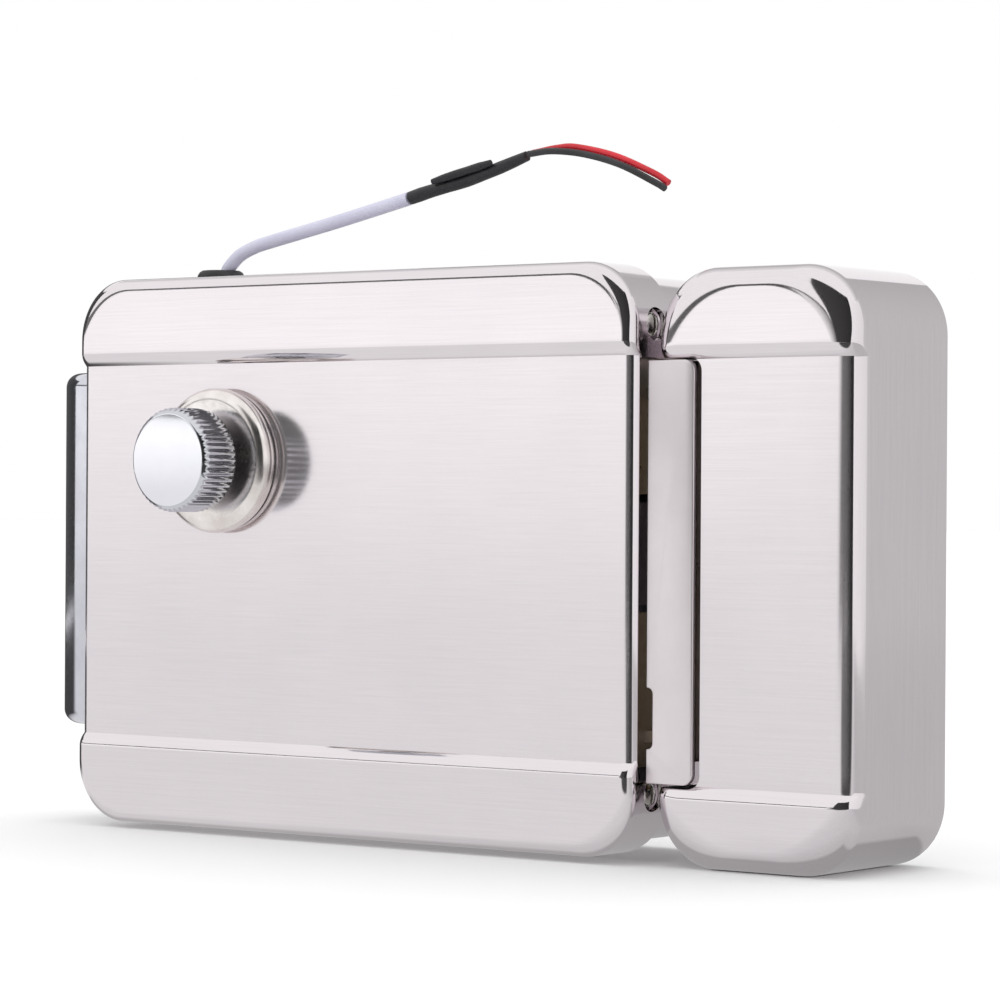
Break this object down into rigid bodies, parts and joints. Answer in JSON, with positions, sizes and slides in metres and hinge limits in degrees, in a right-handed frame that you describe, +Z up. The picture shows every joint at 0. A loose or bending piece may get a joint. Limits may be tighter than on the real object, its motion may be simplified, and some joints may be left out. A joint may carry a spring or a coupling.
{
  "type": "electric rim lock with keeper",
  "caption": "Surface-mounted electric rim lock in brushed nickel with a knurled push knob, swinging tongue, matching keeper box and a short two-wire cable.",
  "frame": {"origin": "centre of the rear case's flat back, the face that lies on the door", "axes": "+X from the lock body towards the keeper, +Y out of the back into the door, +Z up"},
  "size_m": [0.1909, 0.0512, 0.1298],
  "materials": {
    "nickel_shell": "brushed nickel, satin bands",
    "chrome": "polished",
    "steel": "satin",
    "yellow_zinc": "yellow passivated zinc plating",
    "brass": "machined",
    "copper": "enamelled copper wire",
    "black_plastic": "matte",
    "black_rubber": "matte",
    "white_plastic": "soft satin",
    "red_plastic": "satin"
  },
  "bodies": {
    "lock_body": {"front_cover": "nickel_shell", "rear_case": "nickel_shell", "button_collar": "nickel_shell", "collar_ring": "nickel_shell", "end_cap": "chrome", "tongue_pin": "steel", "tongue_spring": "steel", "catch_pin": "steel", "solenoid_core": "steel", "plunger_spring": "steel", "button_spring": "steel", "collar_nut": "steel", "case_pillar_1": "steel", "case_pillar_2": "steel", "case_pillar_3": "steel", "case_pillar_4": "steel", "case_screw_1": "steel", "case_screw_2": "steel", "case_screw_3": "steel", "case_screw_4": "steel", "bracket_screw_upper": "steel", "bracket_screw_lower": "steel", "tongue_bracket": "yellow_zinc", "solenoid_frame": "yellow_zinc", "stem_guide": "yellow_zinc", "slide_guide": "yellow_zinc", "cam_yoke": "yellow_zinc", "terminal_screw_1": "brass", "terminal_screw_2": "brass", "solenoid_coil": "copper", "solenoid_bobbin": "black_plastic", "terminal_block": "black_plastic", "cable_grommet": "black_rubber", "heat_shrink_main": "black_rubber", "heat_shrink_short": "black_rubber", "black_wire": "black_rubber", "cable_jacket": "white_plastic", "red_wire": "red_plastic"},
    "tongue_leaf": {"tongue": "nickel_shell"},
    "catch": {"catch_lever": "steel"},
    "slide": {"release_slide": "steel", "plunger": "steel", "plunger_pin": "steel"},
    "button": {"stem_clip": "steel"},
    "knob_and_stem": {"knob": "chrome", "button_stem": "steel"},
    "key_cam": {"cam_hub": "brass"},
    "keeper": {"keeper_cover": "nickel_shell", "keeper_base": "steel", "keeper_strike": "yellow_zinc", "keeper_pillar_1": "steel", "keeper_pillar_2": "steel", "keeper_screw_1": "steel", "keeper_screw_2": "steel"}
  },
  "joints": [
    {"name": "tongue_swing", "type": "hinge", "parent": "lock_body", "child": "tongue_leaf", "pos_m": [0.0695, -0.0294, 0], "axis": [0, 0, -1], "range_deg": [0, 75], "stiffness_Nm_per_rad": 0.02, "springref_deg": -28.65},
    {"name": "button_press", "type": "slide", "parent": "lock_body", "child": "button", "axis": [0, 1, 0], "range_m": [0, 0.0022], "stiffness_N_per_m": 600, "springref_m": -0.003, "deforming": ["button_spring"]},
    {"name": "knob_turn", "type": "hinge", "parent": "button", "child": "knob_and_stem", "pos_m": [-0.0294, -0.0423, 0.0174], "axis": [0, 1, 0], "range_deg": [0, 90]},
    {"name": "slide_pull", "type": "slide", "parent": "lock_body", "child": "slide", "axis": [-1, 0, 0], "range_m": [0, 0.0022], "deforming": ["plunger_spring"]},
    {"name": "catch_turn", "type": "hinge", "parent": "lock_body", "child": "catch", "pos_m": [0.054, -0.0125, 0], "axis": [0, 0, -1], "range_deg": [0, 16.3]},
    {"name": "key_turn", "type": "hinge", "parent": "lock_body", "child": "key_cam", "pos_m": [0, 0, 0.0174], "axis": [0, -1, 0], "range_deg": [0, 50]},
    {"name": "keeper_apart", "type": "slide", "parent": "lock_body", "child": "keeper", "axis": [1, 0, 0], "range_m": [0, 0.06]}
  ],
  "couplings": [
    {"joint": "slide_pull", "follows": "button_press", "ratio": 1},
    {"joint": "catch_turn", "follows": "button_press", "rad_per_m": 129}
  ]
}
